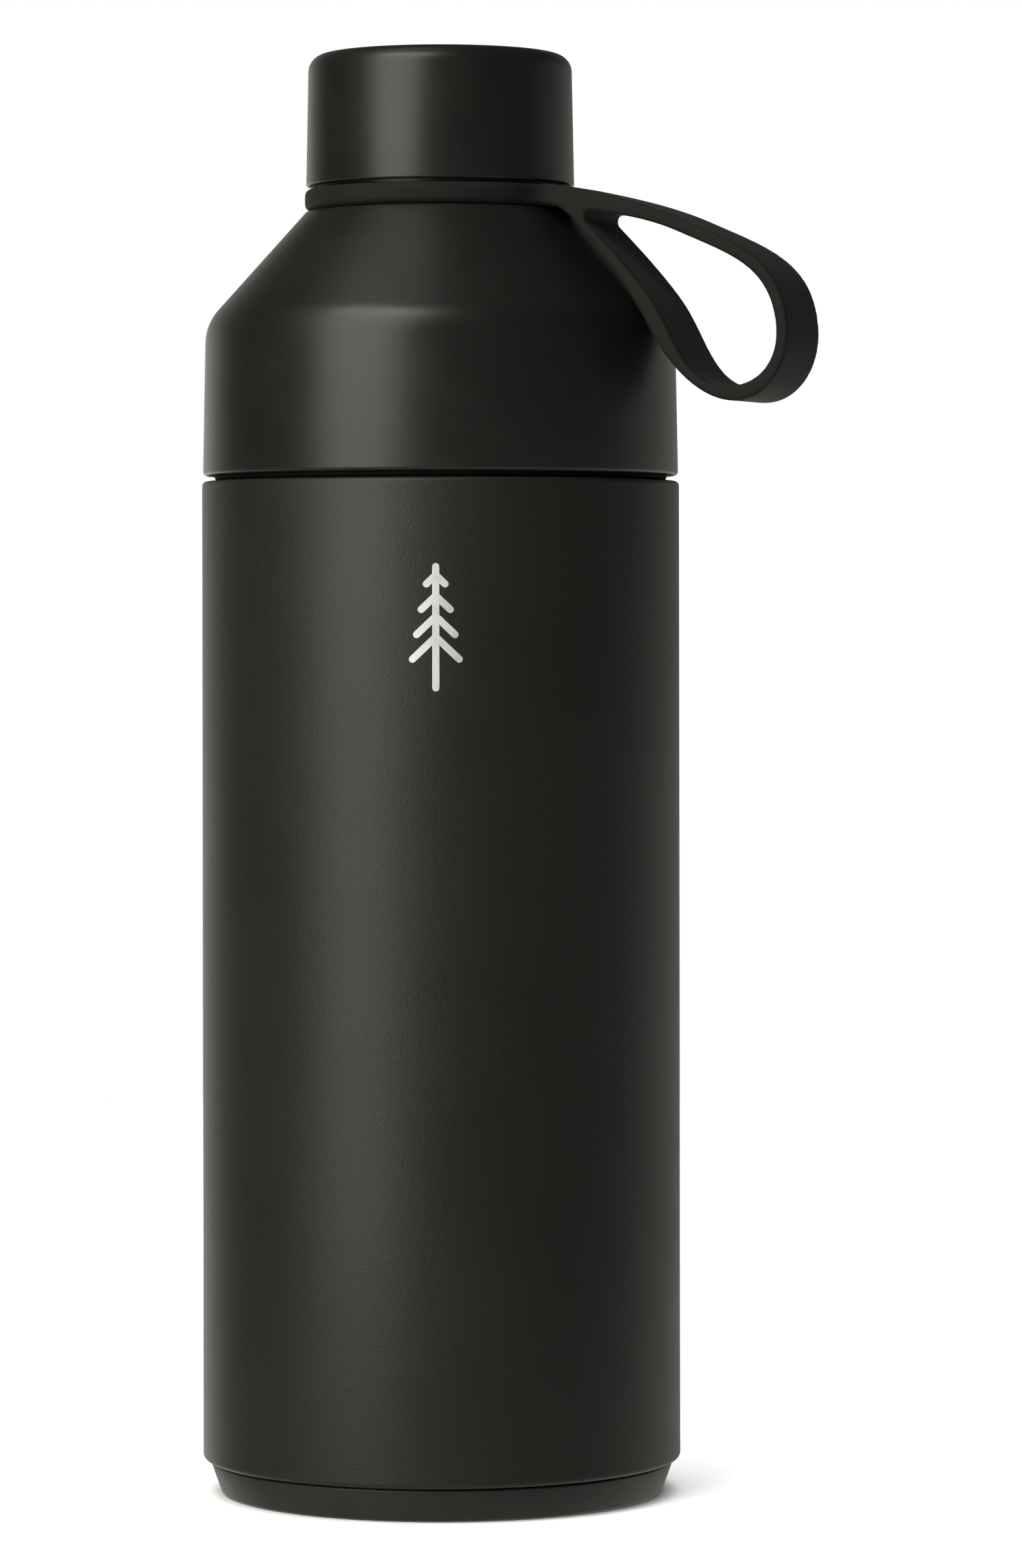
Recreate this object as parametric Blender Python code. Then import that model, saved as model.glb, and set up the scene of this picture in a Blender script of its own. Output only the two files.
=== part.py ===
"""Insulated water bottle: a vacuum flask, a screw-on top section, a screw cap and a silicone carry loop.

The frame is in metres, with +Z up. The origin is the centre of the flat underside, and -Y is the front.
Sizes are written in millimetres, as on a drawing, and MM turns them into metres.
A turned outline is a list of corners (radius, height) or (radius, height, fillet radius).
"""

import math

import bmesh
import bpy
from mathutils import Matrix, Vector
from mathutils.geometry import interpolate_bezier

MM = 0.001

# Driving dimensions
BODY_R = 45.0
HEIGHT = 270.7
RIM_Z = 190.2  # the flask's mouth, where the top section unscrews
SEAM = 1.0  # height of the groove between flask and top section
FOOT_R = 41.5
SHELL_FOOT_Z = 6.4
HEM = 2.1  # how far the shell turns in at its foot
SHEET = 0.6  # steel of the vacuum jacket
LINER_R = 42.0
LINER_SHEET = 0.55
GAP = 0.3  # between pieces that touch

# Top section
TOP_FOOT_R = 44.83
TOP_WALL = 1.6
TOP_BORE_R = 42.9
SHOULDER_R = 44.3
SHOULDER_Z = 219.8
SHOULDER_BEND = 9.5
LEDGE_Z = 241.0
LEDGE_R = 25.3
NECK_R = 22.4
NECK_LIP_R = 23.3
NECK_TOP_Z = 246.5
NECK_BORE_R = 20.9
COLLAR_FOOT_Z = 178.4
COLLAR_R = 38.9
COLLAR_BORE_R = 36.8
FUNNEL_R = 38.1
FUNNEL_NECK_R = 17.7
FUNNEL_DEPTH = 9.3  # from the shoulder's outer face to the funnel's

# Spout and cap
SPOUT_R = 18.7
SPOUT_BORE_R = 16.6
SPOUT_RIM_Z = 261.5
CAP_FOOT_R = 25.3
CAP_CROWN_R = 24.82
CAP_FOOT_Z = 245.8
CAP_CROWN_FILLET = 3.3
CAP_LINER_BORE_R = 20.4
CAP_CEILING_Z = 264.5

# Two-start threads, the same on both joints
LEAD = 8.0
STARTS = 2
HALF_PITCH = LEAD / STARTS / 2
THREAD_H = 1.3
THREAD_ROOT = 2.2
THREAD_CREST = 0.9
THREAD_EMBED = 0.3  # how far a ridge reaches into the wall that carries it
THREAD_TURNS = 0.875
THREAD_FADE = 0.1  # share of the ridge over which each end fades in
JOINT_THREAD_Z = 183.2  # middle of the top section's ridges; the flask's lie half a pitch higher
CAP_THREAD_Z = 253.4  # the same for the spout's and the cap's

# Carry ring and loop, in the plane (distance from the bottle's axis, height)
LOOP_AZIMUTH = math.radians(-25)
STRAP_WIDTH = 16.0
STRAP_EDGE = 0.6
RING_BORE_R = 22.7
RING_R = 25.56
RING_Z = (241.3, 245.2)
HINGE = (28.4, 242.8)
KNUCKLE_R = 1.95
SOCKET_R = KNUCKLE_R + GAP
SOCKET_ANGLES = (218.5, 128.5)
KNUCKLE_ANGLES = (270.0, 50.0)
# Knots: distance, height, direction in degrees, handle before, handle after.
# The outside runs from the top of the knuckle round the strap to below the knuckle; the hole is a ring.
STRAP_OUTSIDE = [
    (30.3, 244.45, -12, 0, 7.2),
    (52.5, 238.0, -23.5, 7.7, 12.5),
    (73.9, 217.7, -86.5, 12.5, 7.6),
    (61.9, 204.3, 172, 7.5, 6.6),
    (46.2, 218.1, 118, 7.0, 7.5),
    (28.4, 240.85, 135, 7.5, 0),
]
STRAP_HOLE = [
    (34.2, 239.9, -7, 0.3, 2.5),
    (51.8, 235.65, -23.5, 7.4, 11.6),
    (71.5, 218.9, -81, 10.2, 7.2),
    (62.1, 206.95, 179, 6.3, 8.4),
    (47.9, 221.6, 121.5, 8.0, 5.6),
    (33.6, 237.85, 135, 5.4, 0.4),
    (33.35, 238.85, 90, 0.5, 0.3),
]

LARGE_STEPS = 40
SMALL_STEPS = 32
HIDDEN_STEPS = 20
BEZIER_STEPS = 8
CHORD = 0.09  # most that a rounded corner's chord lies off its arc

COATED = ((0.022, 0.022, 0.019), 0.55, 0.0)
SATIN = ((0.022, 0.022, 0.020), 0.42, 0.0)
BLACK_PLASTIC = ((0.030, 0.030, 0.028), 0.5, 0.0)
SILICONE = ((0.024, 0.024, 0.022), 0.62, 0.0)
STEEL = ((0.62, 0.62, 0.60), 0.32, 1.0)
GETTER_METAL = ((0.35, 0.34, 0.32), 0.5, 1.0)
FOAM = ((0.75, 0.74, 0.70), 0.9, 0.0)


def clear_scene():
    for obj in list(bpy.data.objects):
        bpy.data.objects.remove(obj)


def material(name, finish):
    color, roughness, metallic = finish
    made = bpy.data.materials.new(name)
    made.use_nodes = True
    shader = made.node_tree.nodes["Principled BSDF"]
    shader.inputs["Base Color"].default_value = (*color, 1)
    shader.inputs["Roughness"].default_value = roughness
    shader.inputs["Metallic"].default_value = metallic
    return made


def fillet(before, corner, after, radius):
    """The points of the arc that rounds one corner of an outline."""
    into = (corner - before).normalized()
    out = (after - corner).normalized()
    turn = into.angle_signed(out)
    cut = radius * math.tan(abs(turn) / 2)
    start = corner - into * cut
    side = math.copysign(1, turn)
    centre = start + Vector((into.y, -into.x)) * side * radius
    widest = 2 * math.acos(1 - min(CHORD / radius, 0.5))
    steps = max(1, math.ceil(abs(turn) / widest))
    return [
        centre + Matrix.Rotation(-turn * i / steps, 2) @ (start - centre)
        for i in range(steps + 1)
    ]


def rounded(corners, closed):
    """An outline's points, with each corner that states a radius turned into an arc."""
    spots = [Vector(c[:2]) for c in corners]
    points = []
    for i, corner in enumerate(corners):
        at_end = not closed and i in (0, len(corners) - 1)
        radius = corner[2] if len(corner) == 3 and not at_end else 0
        after = spots[(i + 1) % len(spots)]
        points += fillet(spots[i - 1], spots[i], after, radius) if radius else [spots[i]]
    return points


def offset(path, distance):
    """An open path moved sideways, to the left of its direction, with mitred corners."""
    sides = [Vector((a.y - b.y, b.x - a.x)).normalized() for a, b in zip(path, path[1:])]
    moved = []
    for point, before, after in zip(path, sides[:1] + sides, sides + sides[-1:]):
        middle = (before + after).normalized()
        moved.append(point + middle * distance / middle.dot(before))
    return moved


def sheet(corners, thickness):
    """The closed outline of a bent sheet: a path, and the same path moved to its left."""
    path = rounded(corners, closed=False)
    other = offset(path, thickness)
    for end in (0, -1):
        if abs(path[end].x) < 1e-6:
            other[end].x = 0
    return path + other[::-1]


def finish_mesh(bm, name, finish):
    bmesh.ops.recalc_face_normals(bm, faces=bm.faces)
    mesh = bpy.data.meshes.new(name)
    bm.to_mesh(mesh)
    bm.free()
    mesh.shade_smooth()
    mesh.set_sharp_from_angle(angle=math.radians(30))
    obj = bpy.data.objects.new(name, mesh)
    obj.data.materials.append(material(name, finish))
    bpy.context.scene.collection.objects.link(obj)
    return obj


def turned(name, points, finish, steps=LARGE_STEPS):
    """A solid of revolution about Z. An outline that starts and ends on the axis stays open there."""
    bm = bmesh.new()
    verts = [bm.verts.new((p[0] * MM, 0, p[1] * MM)) for p in points]
    edges = [bm.edges.new(pair) for pair in zip(verts, verts[1:])]
    if points[0][0] > 0:
        edges.append(bm.edges.new((verts[-1], verts[0])))
    bmesh.ops.spin(
        bm, geom=verts + edges, axis=(0, 0, 1), cent=(0, 0, 0), angle=math.tau, steps=steps, use_merge=True
    )
    bmesh.ops.remove_doubles(bm, verts=bm.verts, dist=1e-6)
    return finish_mesh(bm, name, finish)


def extruded(name, outlines, depth, finish):
    """An outline in the plane (x, z), and any outlines of holes in it, extruded by depth about that plane."""
    bm = bmesh.new()
    for points in outlines:
        verts = [bm.verts.new((p[0] * MM, -depth / 2 * MM, p[1] * MM)) for p in points]
        for pair in zip(verts, verts[1:] + verts[:1]):
            bm.edges.new(pair)
    bmesh.ops.triangle_fill(bm, edges=bm.edges, use_beauty=True)
    made = bmesh.ops.extrude_face_region(bm, geom=bm.faces[:])
    moved = [g for g in made["geom"] if isinstance(g, bmesh.types.BMVert)]
    bmesh.ops.translate(bm, verts=moved, vec=(0, depth * MM, 0))
    return finish_mesh(bm, name, finish)


def hide_tool(tool):
    tool.hide_render = True
    tool.display_type = "WIRE"


def join(obj, tool):
    """Unites a helper with an object, by a Boolean that stays on it."""
    hide_tool(tool)
    modifier = obj.modifiers.new("join_" + tool.name, "BOOLEAN")
    modifier.operation = "UNION"
    modifier.solver = "EXACT"
    modifier.object = tool


def helical_ridge(name, wall_r, outward, middle_z, start_angle, steps):
    """One thread ridge on a wall of radius wall_r, standing outwards or inwards and fading at both ends."""
    bm = bmesh.new()
    root_r = wall_r - outward * THREAD_EMBED
    sections = []
    for i in range(steps + 1):
        share = i / steps
        grown = min(1, 0.12 + min(share, 1 - share) / THREAD_FADE)
        angle = start_angle + share * THREAD_TURNS * math.tau
        z = middle_z + (share - 0.5) * THREAD_TURNS * LEAD
        half_root = THREAD_ROOT / 2 * (0.5 + 0.5 * grown)
        half_crest = THREAD_CREST / 2 * grown
        crest_r = wall_r + outward * THREAD_H * grown
        corners = [(root_r, -half_root), (crest_r, -half_crest), (crest_r, half_crest), (root_r, half_root)]
        sections.append(
            [
                bm.verts.new((r * math.cos(angle) * MM, r * math.sin(angle) * MM, (z + dz) * MM))
                for r, dz in corners
            ]
        )
    for near, far in zip(sections, sections[1:]):
        for j in range(4):
            k = (j + 1) % 4
            bm.faces.new((near[j], near[k], far[k], far[j]))
    bm.faces.new(sections[0])
    bm.faces.new(sections[-1][::-1])
    return finish_mesh(bm, name, BLACK_PLASTIC)


def add_thread(obj, wall_r, outward, middle_z, steps):
    """Ridges with their sections over the middles of the wall's facets."""
    for start in range(STARTS):
        angle = math.tau * (0.5 / steps + start / STARTS)
        name = f"{obj.name}_ridge_{start}"
        join(obj, helical_ridge(name, wall_r, outward, middle_z, angle, round(THREAD_TURNS * steps)))


def cone_z(radius, depth=0.0):
    """Height of the shoulder's cone at a radius, or of the line that runs depth below its face."""
    slope = (SHOULDER_R - LEDGE_R) / (LEDGE_Z - SHOULDER_Z)
    across = depth * math.hypot(1, slope)
    return LEDGE_Z - (radius + across - LEDGE_R) / slope


def cone_r(z, depth=0.0):
    slope = (SHOULDER_R - LEDGE_R) / (LEDGE_Z - SHOULDER_Z)
    return LEDGE_R + (LEDGE_Z - z) * slope - depth * math.hypot(1, slope)


# Flask -----------------------------------------------------------------------


def outer_shell():
    hem_r = BODY_R - 3.5
    path = [
        (BODY_R - HEM, SHELL_FOOT_Z),
        (BODY_R, SHELL_FOOT_Z, 0.9),
        (BODY_R, RIM_Z, 0.9),
        (hem_r, RIM_Z, 0.8),
        (hem_r, RIM_Z - 3.7),
    ]
    return turned("outer_shell", sheet(path, SHEET), COATED)


def inner_liner():
    mouth_r = BODY_R - 3.5 - GAP
    bottom_z = 17.2
    path = [
        (0, bottom_z + 1.6),
        (24, bottom_z),
        (LINER_R, bottom_z, 9),
        (LINER_R, RIM_Z - 18),
        (mouth_r, RIM_Z - 14),
        (mouth_r, RIM_Z),
    ]
    liner = turned("inner_liner", sheet(path, LINER_SHEET), STEEL)
    add_thread(liner, mouth_r - LINER_SHEET, -1, JOINT_THREAD_Z + HALF_PITCH, LARGE_STEPS)
    return liner


def outer_base():
    rim_r = BODY_R - SHEET - GAP
    path = [(1.6, 12.6), (5.0, 12.6), (6.6, 11.0), (rim_r, 11.0, 1.0), (rim_r, 7.6)]
    return turned("outer_base", sheet(path, -SHEET), STEEL, HIDDEN_STEPS)


def vacuum_seal():
    outline = [(0, 10.9), (3.2, 10.9), (3.2, 11.7), (1.3, 11.7), (1.3, 12.9), (0, 12.9)]
    return turned("vacuum_seal", outline, GETTER_METAL, HIDDEN_STEPS)


def getter(distance):
    outline = [(0, 11.3), (5.0, 11.3), (5.0, 13.7), (0, 13.7)]
    pill = turned("getter", outline, GETTER_METAL, HIDDEN_STEPS)
    pill.location.x = distance * MM
    return pill


def getter_clip(distance):
    path = [(-8.6, 11.7), (-5.8, 11.7), (-5.8, 14.5, 0.5), (5.8, 14.5, 0.5), (5.8, 11.7), (8.6, 11.7)]
    clip = extruded("getter_clip", [sheet(path, -0.4)], 3.0, STEEL)
    clip.location.x = distance * MM
    return clip


def base_boot():
    recess_r = 38.6
    wall_r = BODY_R - HEM - GAP
    outline = [
        (0, 1.9),
        (recess_r, 1.9),
        (recess_r, 0),
        (FOOT_R, 0, 1.0),
        (BODY_R - 1.3, SHELL_FOOT_Z - GAP, 0.2),
        (wall_r, SHELL_FOOT_Z - GAP),
        (wall_r, 9.0),
        (wall_r - 1.5, 9.0),
        (wall_r - 1.5, 3.4),
        (0, 3.4),
    ]
    return turned("base_boot", rounded(outline, closed=False), BLACK_PLASTIC)


def base_pad():
    outline = [(0, 0), (38.3, 0), (38.3, 1.6), (0, 1.6)]
    return turned("base_pad", outline, SILICONE)


# Top section -----------------------------------------------------------------


def joint_gasket():
    low = RIM_Z + GAP
    lip_z = low + 0.9
    top_z = low + 2.3
    outline = [(39.3, low), (42.6, low), (42.6, lip_z), (40.2, lip_z), (40.2, top_z), (39.3, top_z)]
    return turned("joint_gasket", outline, SILICONE)


def joint_collar():
    flange_z = RIM_Z + 1.5
    seat_z = flange_z + 1.4
    top_z = flange_z + 3.9
    outline = [
        (COLLAR_BORE_R, COLLAR_FOOT_Z),
        (COLLAR_R, COLLAR_FOOT_Z, 0.6),
        (COLLAR_R, seat_z),
        (40.5, seat_z),
        (40.5, flange_z),
        (TOP_BORE_R - GAP, flange_z),
        (TOP_BORE_R - GAP, 200.5),
        (41.0, 200.5),
        (41.0, top_z),
        (COLLAR_BORE_R, top_z, 0.6),
    ]
    collar = turned("joint_collar", rounded(outline, closed=True), BLACK_PLASTIC)
    add_thread(collar, COLLAR_R, 1, JOINT_THREAD_Z, LARGE_STEPS)
    return collar


def shoulder_shell():
    ceiling_z = LEDGE_Z - 1.8
    outline = [
        (TOP_BORE_R, RIM_Z + SEAM),
        (TOP_FOOT_R, RIM_Z + SEAM, 0.8),
        (SHOULDER_R, SHOULDER_Z, SHOULDER_BEND),
        (LEDGE_R, LEDGE_Z, 0.4),
        (NECK_R, LEDGE_Z),
        (NECK_R, NECK_TOP_Z - 1.0),
        (NECK_LIP_R, NECK_TOP_Z - 1.0),
        (NECK_LIP_R, NECK_TOP_Z, 0.4),
        (NECK_BORE_R, NECK_TOP_Z),
        (NECK_BORE_R, ceiling_z),
        (cone_r(ceiling_z, TOP_WALL), ceiling_z),
        (TOP_BORE_R, cone_z(TOP_BORE_R, TOP_WALL), SHOULDER_BEND - TOP_WALL),
    ]
    return turned("shoulder_shell", rounded(outline, closed=True), SATIN)


def shoulder_foam():
    low_z = 200.8
    top_z = 235.3
    outer_r = TOP_BORE_R - GAP
    outer_depth = TOP_WALL + GAP
    inner_r = FUNNEL_R + GAP
    inner_depth = FUNNEL_DEPTH - GAP
    outline = [
        (inner_r, low_z),
        (outer_r, low_z),
        (outer_r, cone_z(outer_r, outer_depth), SHOULDER_BEND - outer_depth),
        (cone_r(top_z, outer_depth), top_z),
        (cone_r(top_z, inner_depth), top_z),
        (inner_r, cone_z(inner_r, inner_depth), 5.0),
    ]
    return turned("shoulder_foam", rounded(outline, closed=True), FOAM, SMALL_STEPS)


def shoulder_liner():
    path = [
        (FUNNEL_R, 195.9),
        (FUNNEL_R, cone_z(FUNNEL_R, FUNNEL_DEPTH), 5.0),
        (FUNNEL_NECK_R, cone_z(FUNNEL_NECK_R, FUNNEL_DEPTH), 1.2),
        (FUNNEL_NECK_R, 242.7),
    ]
    return turned("shoulder_liner", sheet(path, 0.5), STEEL)


def spout_neck():
    flange_z = NECK_TOP_Z + GAP
    socket_r = FUNNEL_NECK_R + GAP
    outline = [
        (SPOUT_BORE_R, SPOUT_RIM_Z, 0.8),
        (SPOUT_BORE_R, 243.0),
        (socket_r, 243.0),
        (socket_r, 235.9),
        (NECK_BORE_R - GAP, 235.9),
        (NECK_BORE_R - GAP, flange_z),
        (22.6, flange_z),
        (22.6, flange_z + 1.5, 0.4),
        (SPOUT_R, flange_z + 1.5),
        (SPOUT_R, SPOUT_RIM_Z, 0.9),
    ]
    spout = turned("spout_neck", rounded(outline, closed=True), BLACK_PLASTIC, SMALL_STEPS)
    add_thread(spout, SPOUT_R, 1, CAP_THREAD_Z, SMALL_STEPS)
    return spout


# Cap -------------------------------------------------------------------------


def cap_gasket():
    low = SPOUT_RIM_Z + GAP
    outer_r = CAP_LINER_BORE_R - GAP
    outline = [(14.6, low), (outer_r, low, 0.4), (outer_r, CAP_CEILING_Z - GAP), (14.6, CAP_CEILING_Z - GAP)]
    return turned("cap_gasket", rounded(outline, closed=True), SILICONE, SMALL_STEPS)


def cap_liner():
    outline = [
        (0, CAP_CEILING_Z),
        (CAP_LINER_BORE_R, CAP_CEILING_Z),
        (CAP_LINER_BORE_R, 248.6),
        (23.2, 248.6),
        (23.2, 250.0),
        (22.0, 250.0),
        (22.0, 266.3, 0.8),
        (0, 266.3),
    ]
    liner = turned("cap_liner", rounded(outline, closed=False), BLACK_PLASTIC, SMALL_STEPS)
    add_thread(liner, CAP_LINER_BORE_R, -1, CAP_THREAD_Z + HALF_PITCH, SMALL_STEPS)
    return liner


def cap_foam():
    outline = [(0, 266.6), (21.4, 266.6), (21.4, 268.6), (0, 268.6)]
    return turned("cap_foam", outline, FOAM, SMALL_STEPS)


def cap_shell():
    ceiling_z = HEIGHT - 1.8
    outline = [
        (0, ceiling_z),
        (23.2, ceiling_z, 1.6),
        (23.6, CAP_FOOT_Z),
        (CAP_FOOT_R, CAP_FOOT_Z, 0.35),
        (CAP_CROWN_R, HEIGHT, CAP_CROWN_FILLET),
        (0, HEIGHT),
    ]
    return turned("cap_shell", rounded(outline, closed=False), SATIN)


# Carry ring and loop ----------------------------------------------------------


def arc(centre, radius, angles, steps):
    low, high = (math.radians(a) for a in angles)
    turns = [low + (high - low) * i / steps for i in range(steps + 1)]
    return [(centre[0] + radius * math.cos(a), centre[1] + radius * math.sin(a)) for a in turns]


def carry_ring():
    low, high = RING_Z
    outline = [(RING_BORE_R, low), (RING_R, low, 0.5), (RING_R, high, 0.8), (RING_BORE_R, high)]
    ring = turned("carry_ring", rounded(outline, closed=True), SILICONE)
    socket = arc(HINGE, SOCKET_R, SOCKET_ANGLES, 6)
    tab = [(23.4, low + 0.1), *socket, (socket[-1][0], high - 0.15), (23.4, high - 0.1)]
    tool = extruded("ring_tab", [tab], STRAP_WIDTH, SILICONE)
    join(ring, tool)
    ring.rotation_euler.z = LOOP_AZIMUTH
    tool.rotation_euler.z = LOOP_AZIMUTH
    return ring


def heading(degrees):
    return Vector((math.cos(math.radians(degrees)), math.sin(math.radians(degrees))))


def bezier_path(knots):
    """Points along a chain of Bezier knots, measured from the hinge, without the chain's end."""
    points = []
    for near, far in zip(knots, knots[1:]):
        start = Vector(near[:2]) - Vector(HINGE)
        end = Vector(far[:2]) - Vector(HINGE)
        leaving = start + heading(near[2]) * near[4]
        arriving = end - heading(far[2]) * far[3]
        points += interpolate_bezier(start, leaving, arriving, end, BEZIER_STEPS + 1)[:-1]
    return points


def carry_loop():
    outside = bezier_path(STRAP_OUTSIDE) + arc((0, 0), KNUCKLE_R, KNUCKLE_ANGLES, 8)
    hole = bezier_path(STRAP_HOLE + STRAP_HOLE[:1])
    loop = extruded("carry_loop", [outside, hole], STRAP_WIDTH, SILICONE)
    bevel = loop.modifiers.new("edges", "BEVEL")
    bevel.width = STRAP_EDGE * MM
    bevel.segments = 1
    bevel.limit_method = "ANGLE"
    bevel.angle_limit = math.radians(70)
    loop.location = Matrix.Rotation(LOOP_AZIMUTH, 3, "Z") @ Vector((HINGE[0], 0, HINGE[1])) * MM
    loop.rotation_euler.z = LOOP_AZIMUTH
    return loop


def group(name, pieces):
    """An empty on the bottle's axis that carries the pieces which move together."""
    empty = bpy.data.objects.new(name, None)
    bpy.context.scene.collection.objects.link(empty)
    for piece in pieces:
        piece.parent = empty
    return empty


def main():
    clear_scene()
    getter_distance = 20.0
    flask = [outer_shell(), inner_liner(), outer_base(), vacuum_seal()]
    flask += [getter(getter_distance), getter_clip(getter_distance), base_boot(), base_pad()]
    group("flask", flask)
    group("joint_seal", [joint_gasket()])
    top = [shoulder_shell(), shoulder_foam(), shoulder_liner(), joint_collar(), spout_neck()]
    group("top_section", top)
    group("cap_seal", [cap_gasket()])
    group("cap", [cap_shell(), cap_foam(), cap_liner()])
    group("loop_ring", [carry_ring()])
    group("loop_strap", [carry_loop()])


main()
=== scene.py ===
"""The looks of the insulated water bottle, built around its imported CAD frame.

Lengths in outlines are millimetres, as in the CAD source, and MM turns them into metres.
A turned outline is a list of corners (radius, height) or (radius, height, fillet radius).
-Y is the front and +Z is up.
"""

import math

import bmesh
import bpy
from mathutils import Matrix, Vector
from mathutils.geometry import delaunay_2d_cdt, interpolate_bezier


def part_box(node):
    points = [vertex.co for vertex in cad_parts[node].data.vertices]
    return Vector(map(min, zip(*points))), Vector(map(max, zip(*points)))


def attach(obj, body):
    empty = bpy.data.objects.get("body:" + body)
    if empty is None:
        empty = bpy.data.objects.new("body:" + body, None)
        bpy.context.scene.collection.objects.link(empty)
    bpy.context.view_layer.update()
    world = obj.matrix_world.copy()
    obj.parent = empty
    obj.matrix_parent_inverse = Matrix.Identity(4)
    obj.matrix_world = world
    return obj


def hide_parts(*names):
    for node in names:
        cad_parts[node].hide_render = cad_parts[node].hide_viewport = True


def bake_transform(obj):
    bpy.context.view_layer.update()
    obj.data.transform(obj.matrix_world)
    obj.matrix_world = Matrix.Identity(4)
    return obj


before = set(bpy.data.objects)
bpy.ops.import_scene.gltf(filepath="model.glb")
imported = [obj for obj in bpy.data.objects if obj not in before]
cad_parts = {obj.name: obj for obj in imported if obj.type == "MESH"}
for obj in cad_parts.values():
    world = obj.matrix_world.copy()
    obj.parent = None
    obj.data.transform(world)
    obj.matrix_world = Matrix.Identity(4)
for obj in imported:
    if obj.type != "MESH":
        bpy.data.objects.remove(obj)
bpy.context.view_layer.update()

MM = 0.001

# Sizes that the pieces share, from the CAD frame where a node's box gives them -------------------


def low(node):
    """A node's lowest height, in millimetres."""
    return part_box(node)[0].z / MM


def high(node):
    """A node's greatest height, in millimetres."""
    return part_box(node)[1].z / MM


BODY_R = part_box("outer_shell")[1].x / MM
RIM_Z = high("outer_shell")
SHELL_FOOT_Z = low("outer_shell")
TOP_FOOT_Z = low("shoulder_shell")
NECK_TOP_Z = high("shoulder_shell")
CAP_FOOT_Z = low("cap_shell")
HEIGHT = high("cap_shell")
SPOUT_RIM_Z = high("spout_neck")
RING_LOW_Z = low("carry_ring")
RING_TOP_Z = high("carry_ring")

GAP = 0.3  # clearance between neighbouring pieces
HEM = 2.1  # how far the flask's shell turns in at its foot
ROLL_IN = 3.5  # how far it turns in at its rim
FOOT_R = 41.5
PAD_R = 38.3
SEAL_R = 42.6
FLANGE_RISE = 1.5  # of the collar's flange over the flask's rim
SHOULDER_R = 44.3
SHOULDER_Z = 219.8
LEDGE_R = 25.3
LEDGE_Z = 241.0
CONE_SLOPE = (SHOULDER_R - LEDGE_R) / (LEDGE_Z - SHOULDER_Z)  # radius lost per height
FUNNEL_R = 38.1
FUNNEL_DEPTH = 9.3  # under the cone's outer face
SPOUT_R = 18.7
CAP_LINER_R = 23.2

LEAD = 8.0
HALF_PITCH = 2.0
THREAD_TURNS = 0.875
JOINT_THREAD_Z = 183.2
CAP_THREAD_Z = 253.4

LOOP_AZIMUTH = math.radians(-25)
STRAP_HALF_WIDTH = 8.0
RING_BORE_R = 22.7
RING_R = 25.56

WIDE_STEPS = 160
NARROW_STEPS = 128
GLOSSY_STEPS = 192  # for the satin covers, whose highlights show every facet
WIDE_THREAD_CAD_STEPS = 40
NARROW_THREAD_CAD_STEPS = 32
CHORD = 0.012  # most that a rounded corner's chord lies off its arc


# Shader helpers ----------------------------------------------------------------------------------


class Nodes:
    """A short way to write a material's node tree."""

    def __init__(self, name):
        self.material = bpy.data.materials.new(name)
        self.material.use_nodes = True
        self.tree = self.material.node_tree
        self.shader = self.tree.nodes["Principled BSDF"]
        self.place = self.tree.nodes.new("ShaderNodeTexCoord").outputs["Object"]

    def link(self, source, target):
        self.tree.links.new(source, target)

    def node(self, kind, inputs=None, **settings):
        made = self.tree.nodes.new("ShaderNode" + kind)
        for key, value in settings.items():
            setattr(made, key, value)
        for key, value in (inputs or {}).items():
            if isinstance(value, bpy.types.NodeSocket):
                self.link(value, made.inputs[key])
            else:
                made.inputs[key].default_value = value
        return made

    def noise(self, size_mm, vector=None, detail=3.0, rough=0.5):
        """Noise from 0 to 1 with features of about this size."""
        inputs = {"Vector": vector or self.place, "Scale": 1000 / size_mm}
        inputs |= {"Detail": detail, "Roughness": rough}
        return self.node("TexNoise", inputs).outputs["Fac"]

    def cells(self, size_mm, feature="F1"):
        """Distance to the middle of the nearest cell of about this size."""
        inputs = {"Vector": self.place, "Scale": 1000 / size_mm}
        return self.node("TexVoronoi", inputs, feature=feature).outputs["Distance"]

    def spread(self, value, from_low, from_high, to_low, to_high):
        inputs = {0: value, 1: from_low, 2: from_high, 3: to_low, 4: to_high}
        return self.node("MapRange", inputs, clamp=True).outputs[0]

    def maths(self, operation, a, b=0.0):
        return self.node("Math", {0: a, 1: b}, operation=operation).outputs[0]

    def mix(self, share, a, b):
        made = self.node("Mix", {0: share}, data_type="RGBA")
        for socket, value in ((made.inputs[6], a), (made.inputs[7], b)):
            if isinstance(value, bpy.types.NodeSocket):
                self.link(value, socket)
            else:
                socket.default_value = (*value, 1)
        return made.outputs[2]

    def axes(self):
        return self.node("SeparateXYZ", {0: self.place}).outputs

    def vector(self, x, y, z):
        return self.node("CombineXYZ", {0: x, 1: y, 2: z}).outputs[0]

    def bumps(self, *layers):
        """Bump layers (height, depth in mm), the first one deepest."""
        normal = None
        for height, depth in layers:
            made = self.node("Bump", {"Height": height, "Distance": depth * MM, "Strength": 1.0})
            if normal is not None:
                self.link(normal, made.inputs["Normal"])
            normal = made.outputs["Normal"]
        self.link(normal, self.shader.inputs["Normal"])

    def finish(self, color, roughness, **plain):
        """Colour and roughness may come from nodes; the rest are plain values."""
        for key, value in (("Base Color", color), ("Roughness", roughness)):
            if isinstance(value, bpy.types.NodeSocket):
                self.link(value, self.shader.inputs[key])
            elif key == "Base Color":
                self.shader.inputs[key].default_value = (*value, 1)
            else:
                self.shader.inputs[key].default_value = value
        for key, value in plain.items():
            self.shader.inputs[key.replace("_", " ")].default_value = value
        return self.material


# Materials ---------------------------------------------------------------------------------------


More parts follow.
